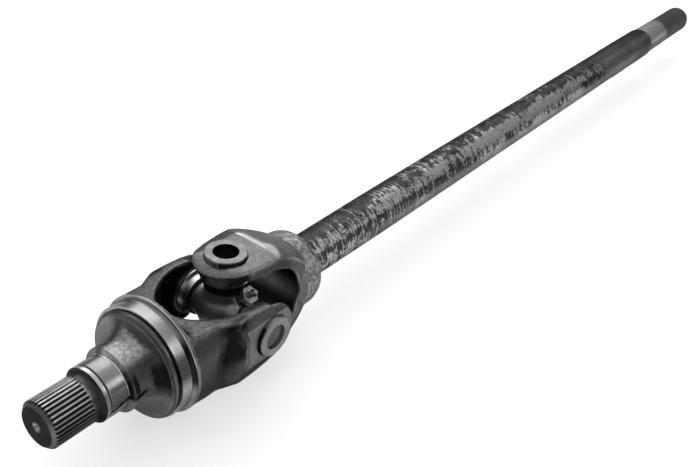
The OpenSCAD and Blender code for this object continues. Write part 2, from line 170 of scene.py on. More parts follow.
class Nodes:
    """Short way to write a material's node tree."""

    def __init__(self, name):
        self.mat = bpy.data.materials.new(name)
        self.mat.use_nodes = True
        self.tree = self.mat.node_tree
        self.bsdf = self.tree.nodes["Principled BSDF"]
        self.coord = self.add("ShaderNodeTexCoord").outputs["Object"]

    def add(self, kind, **props):
        node = self.tree.nodes.new(kind)
        for key, value in props.items():
            setattr(node, key, value)
        return node

    def put(self, socket, value):
        if isinstance(value, bpy.types.NodeSocket):
            self.tree.links.new(value, socket)
        else:
            socket.default_value = value

    def noise(self, scale, detail=4.0, rough=0.55, stretch=(1, 1, 1), offset=0.0, warp=0.0):
        place = self.add("ShaderNodeMapping")
        place.inputs["Scale"].default_value = stretch
        place.inputs["Location"].default_value = (offset, offset * 0.7, offset * 1.3)
        self.put(place.inputs["Vector"], self.coord)
        node = self.add("ShaderNodeTexNoise")
        self.put(node.inputs["Vector"], place.outputs["Vector"])
        for key, value in (("Scale", scale), ("Detail", detail), ("Roughness", rough), ("Distortion", warp)):
            node.inputs[key].default_value = value
        return node.outputs["Fac"]

    def ramp(self, fac, *stops):
        """Grey between (place, grey) stops."""
        node = self.add("ShaderNodeValToRGB")
        marks = node.color_ramp.elements
        while len(marks) < len(stops):
            marks.new(0.5)
        for mark, (place, grey) in zip(marks, stops):
            mark.position = place
            mark.color = (grey, grey, grey, 1)
        self.put(node.inputs["Fac"], fac)
        return node.outputs["Color"]

    def math(self, op, a, b=0.0):
        node = self.add("ShaderNodeMath", operation=op)
        self.put(node.inputs[0], a)
        self.put(node.inputs[1], b)
        return node.outputs[0]

    def larger(self, a, b):
        return self.math("MAXIMUM", a, b)

    def product(self, *factors):
        total = factors[0]
        for factor in factors[1:]:
            total = self.math("MULTIPLY", total, factor)
        return total

    def blend(self, *terms):
        """Sum of (value, share) terms."""
        total = None
        for value, share in terms:
            part = self.math("MULTIPLY", value, share)
            total = part if total is None else self.math("ADD", total, part)
        return total

    def mix(self, fac, a, b):
        """Colour or grey a where fac is 0, and b where it is 1."""
        node = self.add("ShaderNodeMix", data_type="RGBA")
        self.put(node.inputs["Factor"], fac)
        for socket, value in ((node.inputs[6], a), (node.inputs[7], b)):
            self.put(socket, (value, value, value, 1) if isinstance(value, (int, float)) else value)
        return node.outputs[2]

    def span(self, value, start, end, low=0.0, high=1.0):
        """Smooth step from low to high as value goes from start to end."""
        node = self.add("ShaderNodeMapRange", clamp=True, interpolation_type="SMOOTHSTEP")
        self.put(node.inputs["Value"], value)
        for key, v in (("From Min", start), ("From Max", end), ("To Min", low), ("To Max", high)):
            node.inputs[key].default_value = v
        return node.outputs["Result"]

    def fall(self, value, start, end):
        """Smooth step from 1 to 0 as value goes from start to end."""
        return self.span(value, start, end, 1.0, 0.0)

    def band(self, value, start, end, soft):
        """1 between start and end, falling to 0 over soft on each side."""
        rise = self.span(value, start - soft, start + soft)
        return self.math("MULTIPLY", rise, self.fall(value, end - soft, end + soft))

    def wander(self, value, noise, by):
        """Value moved to and fro by up to this much, so that an edge drawn at it is uneven."""
        return self.math("ADD", value, self.span(noise, 0.3, 0.7, -by, by))

    def axes(self):
        """Station, y and z in mm."""
        split = self.add("ShaderNodeSeparateXYZ")
        self.put(split.inputs[0], self.coord)
        return [self.math("DIVIDE", value, MM) for value in split.outputs]

    def from_joint(self):
        """Station from the joint's centre, y and z in mm."""
        x, y, z = self.axes()
        return self.math("SUBTRACT", x, JOINT), y, z

    def normal(self):
        """Parts of the surface normal, in the object's own axes."""
        split = self.add("ShaderNodeSeparateXYZ")
        self.put(split.inputs[0], self.add("ShaderNodeTexCoord").outputs["Normal"])
        return split.outputs

    def around(self):
        """Angle around the shaft."""
        _, y, z = self.axes()
        return self.math("DEGREES", self.math("ARCTAN2", self.math("MULTIPLY", y, -1.0), z))

    def bump(self, height, strength, depth):
        node = self.add("ShaderNodeBump")
        node.inputs["Strength"].default_value = strength
        node.inputs["Distance"].default_value = depth * MM
        self.put(node.inputs["Height"], height)
        self.put(self.bsdf.inputs["Normal"], node.outputs["Normal"])

    def finish(self, color, rough, metallic=1.0, specular=0.5, rim=0.3):
        """rim is how much of a metal's shine is left where it is seen edge-on; scale and oil dull it."""
        self.put(self.bsdf.inputs["Base Color"], color)
        self.put(self.bsdf.inputs["Roughness"], rough)
        self.bsdf.inputs["Metallic"].default_value = metallic
        self.bsdf.inputs["Specular IOR Level"].default_value = specular
        self.bsdf.inputs["Specular Tint"].default_value = (rim, rim, rim, 1)
        return self.mat


def dark_reflection_line(n):
    """Painted dark reflection: a black line that runs back over the journal and the ridge, low on the near
    side.
    """
    x, _, _ = n.from_joint()
    slanted = n.wander(n.blend((n.around(), 1.0), (x, DARK_REFLECTION_SLANT)), n.noise(90, 3), 4)
    start, end = DARK_REFLECTION_SPAN
    return n.math("MULTIPLY", n.band(slanted, *DARK_REFLECTION_ANGLES, 2), n.band(x, start - JOINT, end - JOINT, 2))


def forged(name, coat, rough=(0.28, 0.42), wear_and_highlight=0.5, seed=0.0):
    """Forged steel with rubbed edges, also lightened as a painted highlight along them. coat gives its
    colour, and rough is for light and for dark scale.
    """
    n = Nodes(name)
    broad = n.noise(38, 5, 0.6, offset=seed)
    fine = n.noise(330, 6, 0.62, offset=seed)
    pits = n.noise(900, 3, 0.6, offset=seed)
    tone = n.blend((broad, 0.55), (fine, 0.45))
    color = coat(n, Grain(broad, fine, pits, tone))
    # rubbed edges: real wear, and also a painted highlight along every convex edge
    edge = n.span(n.add("ShaderNodeNewGeometry").outputs["Pointiness"], 0.503, 0.525)
    rubbed_and_highlit = n.product(edge, n.span(fine, 0.3, 0.6, 0.5, 1.0), wear_and_highlight)
    n.bump(n.blend((fine, 0.7), (pits, 0.3)), 0.4, 0.5)
    light_rough, dark_rough = rough
    return n.finish(n.mix(rubbed_and_highlit, color, 0.5), n.span(tone, 0.3, 0.7, dark_rough, light_rough), 0.9)


def scale_coat(n, grain, dark, light, speckle=0.35):
    """Mottled and oiled scale with paler pits."""
    color = n.ramp(grain.tone, (0.34, dark), (0.5, (dark + light) / 2), (0.66, light))
    pale = n.math("MULTIPLY", n.span(grain.pits, 0.58, 0.7), speckle)
    return n.mix(pale, color, light * 1.8)


def inner_coat(n, grain):
    """Painted light and shade: lighter crowns and upward faces, painted shade on the flanks and inside the
    throat, and a painted highlight at the pad's step.
    """
    x, y, z = n.from_joint()
    out = n.math("MULTIPLY", n.normal()[Z_AXIS], n.math("SIGN", z))
    color = scale_coat(n, grain, 0.1, 0.2)
    # painted light: faces turned up and out take a lighter crown colour, lighter still behind the pad
    mottle = n.blend((grain.broad, 0.6), (grain.fine, 0.4))
    pad = n.ramp(mottle, (0.36, 0.15), (0.64, 0.29))
    roof = n.ramp(mottle, (0.36, 0.27), (0.64, 0.5))
    crown = n.mix(n.span(x, PAD_LEN - 1, PAD_LEN + 3), pad, roof)
    slope = n.math("MULTIPLY", n.span(out, 0.1, 0.5), n.span(x, *ROOF_START))
    color = n.mix(n.larger(n.span(out, 0.55, 0.9), slope), color, crown)
    # painted shade on the arms' side faces
    flank = n.product(n.band(out, -0.45, 0.55, 0.2), n.fall(x, *FLANK_END), 0.65)
    color = n.mix(flank, color, 0.04)
    # painted shade inside the throat and on faces turned toward the axis
    throat = n.math("MULTIPLY", n.fall(out, -0.5, -0.1), n.span(x, *THROAT_START))
    painted_shade = n.larger(throat, n.fall(out, -0.97, -0.8))
    color = n.mix(n.math("MULTIPLY", painted_shade, 0.92), color, 0.01)
    # painted highlight: a near-white strip along the pad's step
    across = n.fall(n.math("ABSOLUTE", y), *STEP_HALF_WIDTH)
    on_top = n.span(n.math("ABSOLUTE", z), *STEP_HEIGHT)
    step = n.product(n.band(x, PAD_LEN - 0.9, PAD_LEN + 0.7, 0.6), across, on_top)
    return n.mix(step, color, 0.95)


def stub_coat(n, grain):
    """Painted light and shade: lighter upper faces, painted shade in the outer hollows and inside the
    throat.
    """
    x, y, z = n.from_joint()
    _, normal_y, normal_z = n.normal()
    color = scale_coat(n, grain, 0.06, 0.12)
    # painted light: upward faces are lighter
    color = n.mix(n.span(normal_z, 0.5, 0.9), color, n.ramp(grain.fine, (0.35, 0.09), (0.65, 0.18)))
    out = n.math("MULTIPLY", normal_y, n.math("SIGN", y))
    # painted shade inside the throat and in the outer hollows of the arms
    inside = n.product(n.fall(out, -0.5, -0.1), n.span(x, *STUB_THROAT),
                       n.span(z, *STUB_THROAT_TOP, 1.0, 0.75))
    hollow = n.product(n.band(n.wander(x, grain.broad, 6), *STUB_HOLLOW, 6),
                       n.span(n.math("ABSOLUTE", y), *STUB_HOLLOW_OUT),
                       n.span(z, *STUB_HOLLOW_LOW, 0.25, 1.0))
    return n.mix(n.math("MULTIPLY", n.larger(inside, hollow), 0.94), color, 0.006)


def boss_coat(n, grain):
    """Speckles of bare steel and scale."""
    speckle = n.blend((grain.fine, 0.75), (grain.broad, 0.25))
    return n.mix(n.span(speckle, 0.38, 0.61), 0.2, 0.55)


def cross_coat(n, grain):
    """Clean forged steel."""
    return scale_coat(n, grain, 0.2, 0.46)


def flare_coat(n, grain):
    """Painted light and shade: lighter neck on top, lighter far side and underside, black blotches toward
    the rim and at the ridge's foot on the near side as painted shade, and the painted dark reflection line.
    """
    x, _, _ = n.axes()
    around = n.around()
    color = scale_coat(n, grain, 0.07, 0.13, 0.3)
    mottle = n.blend((grain.broad, 0.5), (grain.fine, 0.5))
    # painted light: the far side and the underside are lighter
    underside = n.math("MULTIPLY", n.span(around, *FLARE_UNDERSIDE), 0.55)
    bare_and_lit = n.larger(n.fall(around, *FLARE_FAR_SIDE), underside)
    color = n.mix(n.math("MULTIPLY", bare_and_lit, n.span(mottle, 0.35, 0.6, 0.6, 1.0)), color, 0.36)
    # painted light on the neck's top
    neck = n.fall(n.wander(x, grain.broad, 3), *NECK_END)
    painted_light_neck = n.product(n.band(around, *FLARE_TOP, 10), neck, n.span(mottle, 0.36, 0.52, 0.6, 1.0))
    color = n.mix(painted_light_neck, color, n.ramp(grain.fine, (0.32, 0.5), (0.68, 0.8)))
    # painted shade: black blotches toward the rim and at the ridge's foot, on the near side
    painted_shade_zone = n.larger(n.span(x, *RIM_START), n.band(x, *FLARE_FOOT, 2))
    blot = n.span(n.blend((painted_shade_zone, 0.32), (mottle, 1.0)), 0.54, 0.7)
    color = n.mix(n.product(n.band(around, *FLARE_NEAR_SIDE, 10), blot, 0.95), color, 0.008)
    # painted dark reflection line, where it reaches the flare
    return n.mix(dark_reflection_line(n), color, 0.005)


def polished(name, base, rough, under=None):
    """Ground steel with fine marks around it and a few stains.

    under is (first angle, last angle, share of shine left) of a stretch around it darkened as a painted dark
    reflection.
    """
    n = Nodes(name)
    lines = n.noise(1.0, 3, 0.6, stretch=(2600, 30, 30))
    stain = n.noise(55, 4, 0.6)
    tone = n.blend((lines, 0.25), (stain, 0.75))
    color = n.ramp(tone, (0.3, base * 0.75), (0.52, base), (0.72, base * 1.15))
    if under:
        # painted dark reflection over a stretch of angles, with the painted dark reflection line
        start, end, left = under
        color = n.mix(n.math("MULTIPLY", n.band(n.around(), start, end, 8), 1 - left), color, 0.01)
        color = n.mix(dark_reflection_line(n), color, 0.005)
    n.bump(lines, 0.08, 0.2)
    return n.finish(color, n.span(tone, 0.3, 0.7, rough * 1.3, rough * 0.9), rim=0.5)


def ground(name, base, rough, grain=GRAIN_ACROSS, painted_low_shine=1.0, painted_shade_from=None):
    """Faced or cut bare steel with a dull grain.

    It can be darkened low on the near side, to a share of its shine, as a painted dark reflection, and from
    a given station on with painted shade.
    """
    n = Nodes(name)
    lines = n.noise(900, 4, 0.65, stretch=grain)
    stain = n.noise(90, 4, 0.6)
    tone = n.blend((lines, 0.45), (stain, 0.55))
    color = n.ramp(tone, (0.3, base * 0.65), (0.52, base), (0.74, base * 1.3))
    # painted dark reflection low on the near side
    if painted_low_shine < 1:
        color = n.mix(n.math("MULTIPLY", n.span(n.around(), *LOW_NEAR_SIDE), 1 - painted_low_shine), color, 0.01)
    # painted shade from a station on, where the teeth run out
    if painted_shade_from is not None:
        x, _, _ = n.axes()
        painted_shade = n.span(n.wander(x, stain, 1), painted_shade_from, painted_shade_from + 4)
        color = n.mix(n.math("MULTIPLY", painted_shade, 0.88), color, 0.02)
    n.bump(lines, 0.12, 0.3)
    return n.finish(color, n.span(tone, 0.3, 0.7, rough * 1.25, rough * 0.85), rim=0.4)


def black(name, low, high, rough, specular=0.15):
    """Rubber, or black put into a recess as painted shade."""
    n = Nodes(name)
    tone = n.noise(500, 4, 0.6)
    n.bump(tone, 0.2, 0.4)
    color = n.ramp(tone, (0.3, low), (0.7, high))
    return n.finish(color, n.span(tone, 0.3, 0.7, rough, rough * 1.35), 0.0, specular, 1.0)


def bar_rings(n, x, patch, fine):
    """Turned rings, worn away in places: one group, and single ones along the bar."""
    wave = n.math("SINE", n.math("MULTIPLY", x, 2 * math.pi / RING_PITCH))
    rings = n.math("MULTIPLY", n.span(wave, 0.72, 0.95), n.band(x, *RING_GROUP, 2.0))
    for place in RINGS:
        rings = n.larger(rings, n.band(x, place - RING_HALF_WIDTH, place + RING_HALF_WIDTH, 0.5))
    return n.math("MULTIPLY", rings, n.span(n.blend((patch, 0.5), (fine, 0.5)), 0.4, 0.56, 0.1, 0.8))


def bar_steel(name):
    """Black mill scale on the long bar, rubbed through to bare steel in patches and in turned rings."""
    n = Nodes(name)
    x, _, _ = n.from_joint()
    around = n.around()
    patch = n.noise(24, 4, 0.6, stretch=(0.5, 1, 1), offset=3.0)
    blot = n.noise(150, 5, 0.65, stretch=(0.8, 0.8, 0.8), offset=5.0, warp=0.6)
    fine = n.noise(420, 4, 0.65, offset=1.0)
    turned = n.noise(1.0, 3, 0.7, stretch=(380, 22, 22))
    # the middle of the bar is rubbed more than its ends; its near and low flanks get more bare patches than
    # its top, a painted light
    middle = n.band(x, *RUBBED_MIDDLE, 60)
    flank = n.band(around, *BAR_NEAR_FLANK, 8)
    low_flank = n.span(around, *BAR_LOW_FLANK)
    middle_flank = n.math("MULTIPLY", middle, n.band(around, *BAR_MIDDLE_FLANK, 8))
    tone = n.blend((patch, 0.28), (blot, 0.3), (fine, 0.16), (turned, 0.26),
                   (middle, 0.02), (flank, 0.06), (low_flank, 0.02), (middle_flank, 0.03))
    scale = n.ramp(n.blend((blot, 0.5), (fine, 0.5)), (0.35, 0.05), (0.65, 0.12))
    bare_and_lit = n.ramp(fine, (0.3, 0.36), (0.7, 0.7))
    color = n.mix(n.span(tone, 0.525, 0.585), scale, bare_and_lit)
    # painted reflection of the floor: a lighter strip low on the near side
    floor_reflection_strip = n.product(n.band(around, *BAR_STRIP, 8), n.span(x, *STRIP_START),
                      n.span(blot, 0.3, 0.6, 1.0, 0.45), 0.85)
    color = n.mix(floor_reflection_strip, color, 0.45)
    rings = bar_rings(n, x, patch, fine)
    color = n.mix(rings, color, 0.65)
    # smooth dark length ahead of the journal, lighter on its flanks than on top as painted light
    top = n.ramp(patch, (0.35, 0.06), (0.6, 0.11))
    side = n.ramp(patch, (0.35, 0.16), (0.6, 0.28))
    smooth = n.mix(n.span(around, *BAR_TOP_END), top, side)
    color = n.mix(n.span(n.wander(x, blot, 30), *PLAIN_START), color, smooth)
    n.bump(n.blend((blot, 0.4), (turned, 0.3), (rings, 0.3)), 0.25, 0.4)
    return n.finish(color, n.span(tone, 0.4, 0.6, 0.46, 0.38), 0.95)


LOOKS = {
    "stub": forged("forged_steel", stub_coat, seed=1.0),
    "inner": forged("forged_steel_inner", inner_coat, seed=2.3),
    "flare": forged("forged_flare", flare_coat, (0.42, 0.55), wear_and_highlight=0.2, seed=4.1),
    "boss": forged("forged_boss", boss_coat, (0.42, 0.58), wear_and_highlight=0.4, seed=5.2),
    "cross": forged("forged_cross", cross_coat, (0.32, 0.46), wear_and_highlight=0.3, seed=7.7),
    # under gives several of these looks a painted dark reflection over a stretch of angles
    "journal": polished("ground_journal", 0.41, 0.22, under=(64, 100, 0.25)),
    "band": polished("ground_seal_band", 0.47, 0.22, under=(61, 84, 0.15)),
    "hollow": polished("seal_band_fillet", 0.34, 0.26, under=(46, 94, 0.03)),
    # bright chamfers: real ground steel, with its very pale colour a painted highlight
    "edge": polished("bright_edge_painted_highlight", 0.9, 0.22, under=(70, 181, 0.2)),
    # darker land between the flare and the seal band
    "land": polished("darker_land", 0.14, 0.3),
    # painted shade: near-black fillets in the creases between turned faces
    "fillet": polished("dark_fillet", 0.03, 0.34),
    "collar": polished("turned_collar", 0.75, 0.26, under=(62, 100, 0.25)),
    # painted shade on the collar's concave front, which is also darker low on the near side as a painted
    # dark reflection
    "collar_front": ground("collar_front", 0.07, 0.36, painted_low_shine=0.3),
    # the spline is darker low on the near side as a painted dark reflection, and has painted shade at its
    # run-out
    "spline": ground("cut_spline", 0.62, 0.34, GRAIN_ALONG, painted_low_shine=0.15, painted_shade_from=SPLINE_END - RUN_OUT),
    # painted shade in the spaces between the spline's teeth
    "groove": ground("spline_groove", 0.03, 0.4, GRAIN_ALONG),
    "end": ground("turned_end_face", 0.055, 0.45),
    "tip": ground("turned_tip", 0.2, 0.4),
    "centre": polished("centre_hole", 0.4, 0.25),
    "pad": ground("milled_pad", 0.24, 0.44),
    "cap": ground("cap_face", 0.33, 0.38),
    # the upright caps get their own slightly lighter copy of the cap face, a painted light
    "cap_top": ground("cap_face_top", 0.34, 0.4),
    # painted shade: the dark side of a cap's wall, and the mouths of the upright caps
    "cap_wall": ground("cap_wall", 0.03, 0.4),
    "cap_mouth": polished("cap_mouth", 0.85, 0.3, under=(-130, -94, 0.06)),
    "dish": ground("cap_dish", 0.18, 0.45),
    # painted shade: black filling the upright caps' dishes
    "painted_shade": black("painted_shade_dish", 0.001, 0.003, 0.7, specular=0.02),
    "clip": polished("snap_ring_steel", 0.5, 0.25),
    "needle": polished("needle_steel", 0.5, 0.2),
    "nipple": polished("nipple_steel", 0.34, 0.44),
    "seal": black("seal_rubber", 0.005, 0.014, 0.5),
    "bar": bar_steel("bar_steel"),
    "far_journal": polished("far_journal", 0.62, 0.36, under=(78, 181, 0.35)),
    "far_spline": ground("far_spline", 0.28, 0.42, GRAIN_ALONG),
}


def new_object(name, data):
    o = bpy.data.objects.new(name, data)
    bpy.context.scene.collection.objects.link(o)
    return o


def solid(name, bm):
    """New object with a bmesh's faces, all turned outward."""
    bmesh.ops.recalc_face_normals(bm, faces=bm.faces)
    mesh = bpy.data.meshes.new(name)
    bm.to_mesh(mesh)
    bm.free()
    return new_object(name, mesh)


def add_looks(o, keys):
    for key in keys:
        o.data.materials.append(LOOKS[key])


def use(o, *keys):
    """Gives an object these materials in place of its own; all its faces take the first."""
    o.data.materials.clear()
    add_looks(o, keys)


def paint(o, keys, places):
    """Gives faces the first material, or that of the last of places(centres in mm, normals) they lie in."""
    count = len(o.data.polygons)
    centre, normal = np.zeros(count * 3), np.zeros(count * 3)
    o.data.polygons.foreach_get("center", centre)
    o.data.polygons.foreach_get("normal", normal)
    use(o, *keys)
    picked = np.zeros(count, np.int32)
    for index, place in enumerate(places(centre.reshape(-1, 3) / MM, normal.reshape(-1, 3)), 1):
        picked[place] = index
    o.data.polygons.foreach_set("material_index", picked)
    o.data.update()


def sharpen(mesh, crease):
    """Smooth shading, with edges over this angle in degrees kept sharp."""
    bm = bmesh.new()
    bm.from_mesh(mesh)
    for f in bm.faces:
        f.smooth = True
    for e in bm.edges:
        e.smooth = not (len(e.link_faces) == 2 and e.calc_face_angle(0) > math.radians(crease))
    bm.to_mesh(mesh)
    bm.free()


def cad_slice(node, name, start, end, weld=0.002, tolerance=0.0001):
    """Closed copy of the part of a CAD node between two stations."""
    bm = bmesh.new()
    bm.from_mesh(nodes[node].data)
    bmesh.ops.remove_doubles(bm, verts=bm.verts, dist=weld * MM)
    for x, side in ((start, -1), (end, 1)):
        geom = list(bm.verts) + list(bm.edges) + list(bm.faces)
        cut = bmesh.ops.bisect_plane(bm, geom=geom, dist=tolerance * MM, plane_co=(x * MM, 0, 0),
                                     plane_no=(side, 0, 0), clear_outer=True)
        rim = [e for e in cut["geom_cut"] if isinstance(e, bmesh.types.BMEdge)]
        if rim:
            bmesh.ops.triangle_fill(bm, edges=rim, use_beauty=True, normal=(side, 0, 0))
    return solid(name, bm)


def remesh(o, voxel):
    """Even, dense mesh of the same solid."""
    mod = o.modifiers.new("remesh", "REMESH")
    mod.mode = "VOXEL"
    mod.voxel_size = voxel * MM
    dg = bpy.context.evaluated_depsgraph_get()
    mesh = bpy.data.meshes.new_from_object(o.evaluated_get(dg))
    o.modifiers.clear()
    old = o.data
    o.data = mesh
    bpy.data.meshes.remove(old)
    mesh.name = o.name


def points_of(o):
    """A mesh's points in mm."""
    co = np.zeros(len(o.data.vertices) * 3)
    o.data.vertices.foreach_get("co", co)
    return co.reshape(-1, 3) / MM


def set_points(o, co):
    o.data.vertices.foreach_set("co", (co * MM).ravel())
    o.data.update()


def relax(o, rounds, weight):
    """Rounds a dense mesh's edges as a forging's are; weight(points in mm) says how freely each moves."""
    co = points_of(o)
    count = len(co)
    ends = np.zeros(len(o.data.edges) * 2, int)
    o.data.edges.foreach_get("vertices", ends)
    a, b = ends.reshape(-1, 2).T
    neighbours = np.bincount(ends, minlength=count)[:, None]
    free = (weight(co) * SMOOTHING_RATE)[:, None]
    for _ in range(rounds):
        sums = [np.bincount(a, co[b, k], count) + np.bincount(b, co[a, k], count) for k in range(3)]
        co += free * (np.stack(sums, 1) / neighbours - co)
    set_points(o, co)
    for p in o.data.polygons:
        p.use_smooth = True


def nudge(o, shift):
    """Moves a mesh's points by shift(points in mm)."""
    co = points_of(o)
    set_points(o, co + shift(co))


def fade(values, start, end):
    """Straight rise from 0 at start to 1 at end."""
    return np.clip((values - start) / (end - start), 0, 1)


def arc(x, r, radius, start, end, steps):
    """Points of an arc in (station, radius), its angles in degrees from +station toward +radius."""
    turn = [math.radians(start + (end - start) * i / steps) for i in range(steps + 1)]
    return [(x + radius * math.cos(t), r + radius * math.sin(t)) for t in turn]


def lathe(name, profile, zones, sides, crease):
    """Turned surface through (station, radius) points; each zone is (station where it ends, material)."""
    bm = bmesh.new()
    turn = [2 * math.pi * i / sides for i in range(sides)]
    loops = []
    for x, r in profile:
        loops.append([bm.verts.new((x * MM, r * MM * math.cos(t), r * MM * math.sin(t))) for t in turn])
    for p, q, (xa, _), (xb, _) in zip(loops, loops[1:], profile, profile[1:]):
        zone = sum((xa + xb) / 2 > end for end, _ in zones[:-1])
        for i in range(sides):
            j = (i + 1) % sides
            bm.faces.new((p[i], q[i], q[j], p[j])).material_index = zone
    o = solid(name, bm)
    sharpen(o.data, crease)
    add_looks(o, [key for _, key in zones])
    return o


def ear_weight(p, trunnion, toward_base):
    """How freely a yoke's surface rounds: bores, pads and seats stay as cut. trunnion is its ears' axis."""
    height = np.abs(p[:, trunnion])
    x = (p[:, X_AXIS] - JOINT) * toward_base
    rho = np.hypot(x, p[:, 3 - trunnion])
    free = np.ones(len(p))
    free[(np.abs(height - PAD_Z) < NEAR_FACE) & (x < PAD_LEN)] = 0.15
    free[(np.abs(height - SEAT_Z) < NEAR_FACE) & (rho < SEAT_R - 1)] = 0.1
    free[(rho < CAP_R + BORE_MARGIN) & (height > SEAT_Z - 2)] = 0.0
    return free


def inner_weight(p):
    """The boss's back stays as turned."""
    back = JOINT + BOSS_BACK
    return ear_weight(p, Z_AXIS, 1) * fade(p[:, X_AXIS], back - 2, back - 5)


def inner_flash(p):
    """The lower arm is a little fuller on its near side."""
    share = fade(-p[:, Y_AXIS], *INNER_FULLER_SIDE) * fade(-p[:, Z_AXIS], *INNER_FULLER_LOW)
    return share[:, None] * np.array((0, -FULLER, -FULLER)) * INNER_FULLER_SHARE


def make_inner_yoke():
    """Inner shaft's yoke and its boss."""
    o = cad_slice("inner_axle_shaft", "inner_yoke", JOINT - PAST_EARS, JOINT + BOSS_BACK + 1)
    remesh(o, YOKE_VOXEL)
    relax(o, YOKE_ROUNDS, inner_weight)
    nudge(o, inner_flash)
    paint(o, ("inner", "boss"), lambda c, normal: (c[:, X_AXIS] - JOINT > BOSS_START,))
    return o


def stub_weight(p):
    """The base disc's front stays as turned."""
    return ear_weight(p, Y_AXIS, -1) * fade(p[:, X_AXIS], FLANGE_FRONT + 2.4, FLANGE_FRONT + 5.4)


def stub_flash(p):
    """The arms are a little fuller below."""
    share = fade(-p[:, Z_AXIS], *STUB_FULLER_LOW) * fade(p[:, X_AXIS], *STUB_FULLER_START)
    return share[:, None] * np.array((0, 0, -FULLER))


def stub_pads(c, normal):
    """Faces of the milled pads."""
    at_height = np.abs(np.abs(c[:, Y_AXIS]) - PAD_Z) < 0.5
    return (at_height & (JOINT - c[:, X_AXIS] < PAD_LEN) & (np.abs(normal[:, Y_AXIS]) > 0.8),)


def make_stub_yoke():
    """Stub's yoke with its base disc."""
    o = cad_slice("outer_stub_shaft", "stub_yoke", FLANGE_FRONT + 1.2, JOINT + PAST_EARS)
    remesh(o, YOKE_VOXEL)
    relax(o, YOKE_ROUNDS, stub_weight)
    nudge(o, stub_flash)
    paint(o, ("stub", "pad"), stub_pads)
    return o


def spline_places(c, normal):
    """Spaces between the teeth, turned tip, end face and centre hole."""
    rho = np.hypot(c[:, Y_AXIS], c[:, Z_AXIS])
    x, facing = c[:, X_AXIS], np.abs(normal[:, X_AXIS])
    # the spaces between the teeth get the dark groove look, a painted shade
    spaces = (rho < SPLINE_R - SPACE_DEPTH) & (x > END_DEPTH)
    tip = (facing > 0.4) & (x < TIP_LEN)
    end = (facing > 0.95) & (x < END_DEPTH)
    centre = (rho < CENTRE_R) & (x < CENTRE_DEPTH)
    return spaces, tip, end, centre


def make_stub_spline():
    """Hub spline: bright teeth, spaces painted dark as painted shade, and a turned tip."""
    o = cad_slice("outer_stub_shaft", "stub_spline", -1, SPLINE_END + 0.05)
    sharpen(o.data, crease=24)
    paint(o, ("spline", "groove", "tip", "end", "centre"), spline_places)
    return o


def stub_profile():
    """Turned outline from the spline's end to the base disc; both ends reach in under their neighbours."""
    points = [(SPLINE_END, UNDER_SPLINE_R), (SPLINE_END, SPLINE_R)]
    points += arc(SPLINE_END, SPLINE_R + COLLAR_CURVE, COLLAR_CURVE, -90, -25, 12)
    points += [(COLLAR_FRONT - 0.6, COLLAR_R - 0.5), (COLLAR_FRONT - 0.3, COLLAR_R - 0.1),
               (COLLAR_FRONT, COLLAR_R), (COLLAR_END - 0.3, COLLAR_R), (COLLAR_END, COLLAR_R - 0.45)]
    points += [(JOURNAL_START - 0.3, COLLAR_R - 0.45), (JOURNAL_START, JOURNAL_R - 0.2),
               (JOURNAL_START + 0.2, JOURNAL_R), (JOURNAL_END - 1.0, JOURNAL_R)]
    points += arc(JOURNAL_END - 0.8, JOURNAL_R + JOURNAL_FILLET, JOURNAL_FILLET, -90, -20, 6)
    points += arc(RIDGE_START + RIDGE_EDGE, RIDGE_R - RIDGE_EDGE, RIDGE_EDGE, 160, 90, 6)
    points += [(RIDGE_END - 2.7, RIDGE_R)]
    points += arc(RIDGE_END - 0.9, RIDGE_R + FLARE_R, FLARE_R, -88, -8, 30)
    points += [(FLARE_END - 0.3, LAND_R - 1.9), (FLARE_END, LAND_R - 2.2)]
    points += arc(FLARE_END + LAND_EDGE, LAND_R - LAND_EDGE, LAND_EDGE, 180, 90, 8)
    points += [(LAND_END - 0.2, LAND_R), (LAND_END, LAND_R - 0.5)]
    points += [(BAND_START - 0.1, LAND_R - 0.5), (BAND_START + 0.3, BAND_R), (BAND_END, BAND_R)]
    points += arc(BAND_END, FLANGE_R, FLANGE_R - BAND_R, -90, -6, 10)
    points += arc(FLANGE_FRONT + 0.7, FLANGE_R - FLANGE_EDGE, FLANGE_EDGE, 180, 90, 4)
    points += [(FLANGE_FRONT + 1.3, FLANGE_R), (FLANGE_FRONT + 1.3, UNDER_YOKE_R)]
    return points


def rim_shift(p):
    """The forging's rim sits a little off the turned axis."""
    x = p[:, X_AXIS]
    share = fade(x, RIDGE_END, RIDGE_END + 8) * fade(x, LAND_END - 0.6, LAND_END - 1.1)
    return -RIM_SHIFT * math.sqrt(0.5) * share[:, None] * np.array((0, 1, 1))


def make_stub_turning():
    """Collar, journal, ridge, forged flare, land and seal band of the stub."""
    zones = ((COLLAR_END - 3.2, "collar_front"), (COLLAR_END - 0.2, "collar"),
             (JOURNAL_START - 0.2, "fillet"), (JOURNAL_END - 0.9, "journal"),
             (JOURNAL_END - 0.1, "edge"), (FLARE_END - 0.1, "flare"),
             (LAND_END - 0.1, "land"), (BAND_START + 0.1, "fillet"), (BAND_END + 0.2, "band"),
             (FLANGE_FRONT, "hollow"), (FLANGE_FRONT + 0.8, "edge"), (FLANGE_BACK, "stub"))
    o = lathe("stub_turning", stub_profile(), zones, sides=192, crease=25)
    nudge(o, rim_shift)
    return o


